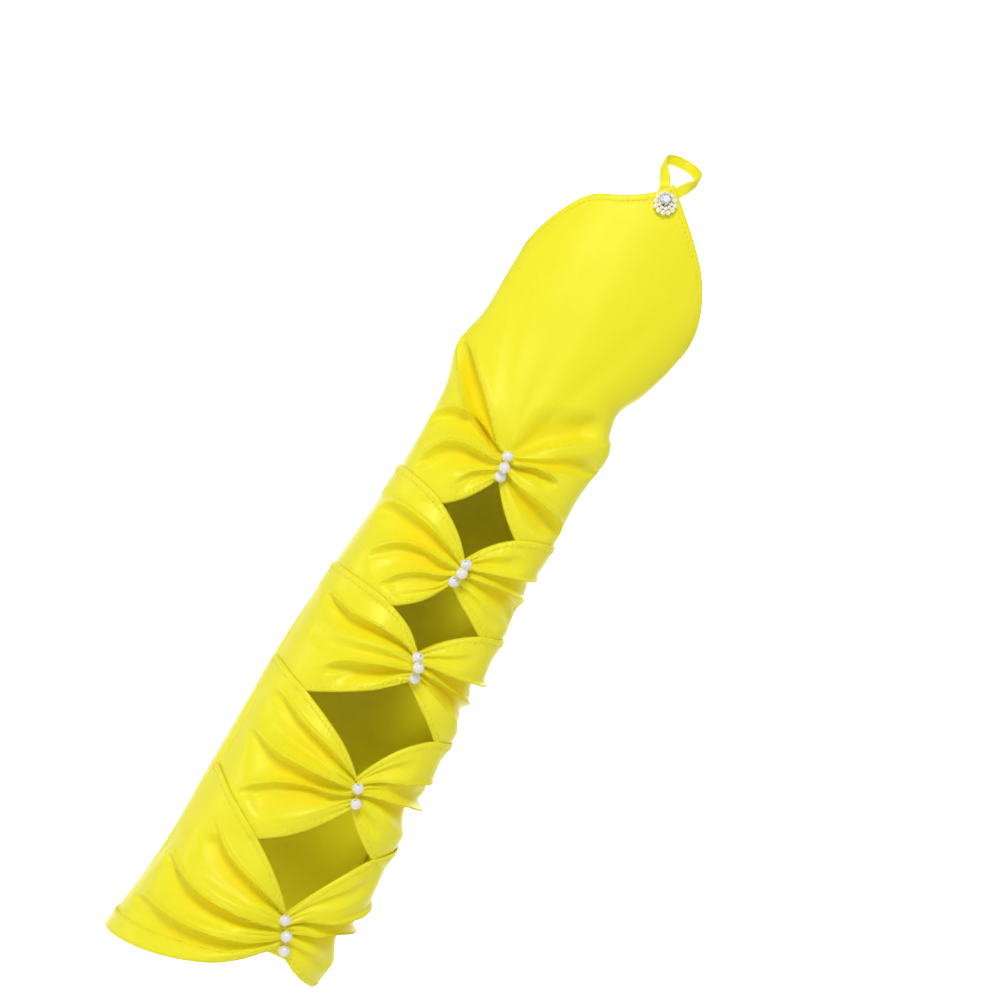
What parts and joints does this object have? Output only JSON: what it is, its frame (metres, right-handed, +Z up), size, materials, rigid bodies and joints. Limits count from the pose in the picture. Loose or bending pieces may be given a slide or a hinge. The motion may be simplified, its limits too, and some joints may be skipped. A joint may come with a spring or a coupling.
{
  "type": "evening mitten",
  "caption": "Fingerless evening mitten: a long sleeve of ruched satin bands with open windows, a pointed hand panel with a finger loop and jewelled button, and pearls on the gathers.",
  "frame": {"origin": "on the arm's centre line, level with the middle of the elbow hem, where the sleeve sits on the forearm", "axes": "+Z up the forearm to the fingers, -Y the back of the hand, +X the thumb's side"},
  "size_m": [0.1032, 0.0832, 0.4415],
  "materials": {
    "satin": "bright lemon-yellow satin with a soft sheen",
    "pearl": "lustrous white imitation pearl",
    "setting": "pale pearled cast setting with a beaded rim",
    "stone": "clear faceted crystal"
  },
  "bodies": {
    "root": {"hand_panel": "satin", "ruched_band_1": "satin", "ruched_band_2": "satin", "ruched_band_3": "satin", "ruched_band_4": "satin", "back_panel": "satin", "finger_loop": "satin", "button_setting": "setting", "button_stone": "stone", "pearl_1_1": "pearl", "pearl_1_2": "pearl", "pearl_1_3": "pearl", "pearl_2_1": "pearl", "pearl_2_2": "pearl", "pearl_2_3": "pearl", "pearl_3_1": "pearl", "pearl_3_2": "pearl", "pearl_3_3": "pearl", "pearl_4_1": "pearl", "pearl_4_2": "pearl", "pearl_5_1": "pearl", "pearl_5_2": "pearl", "pearl_5_3": "pearl"}
  },
  "joints": []
}
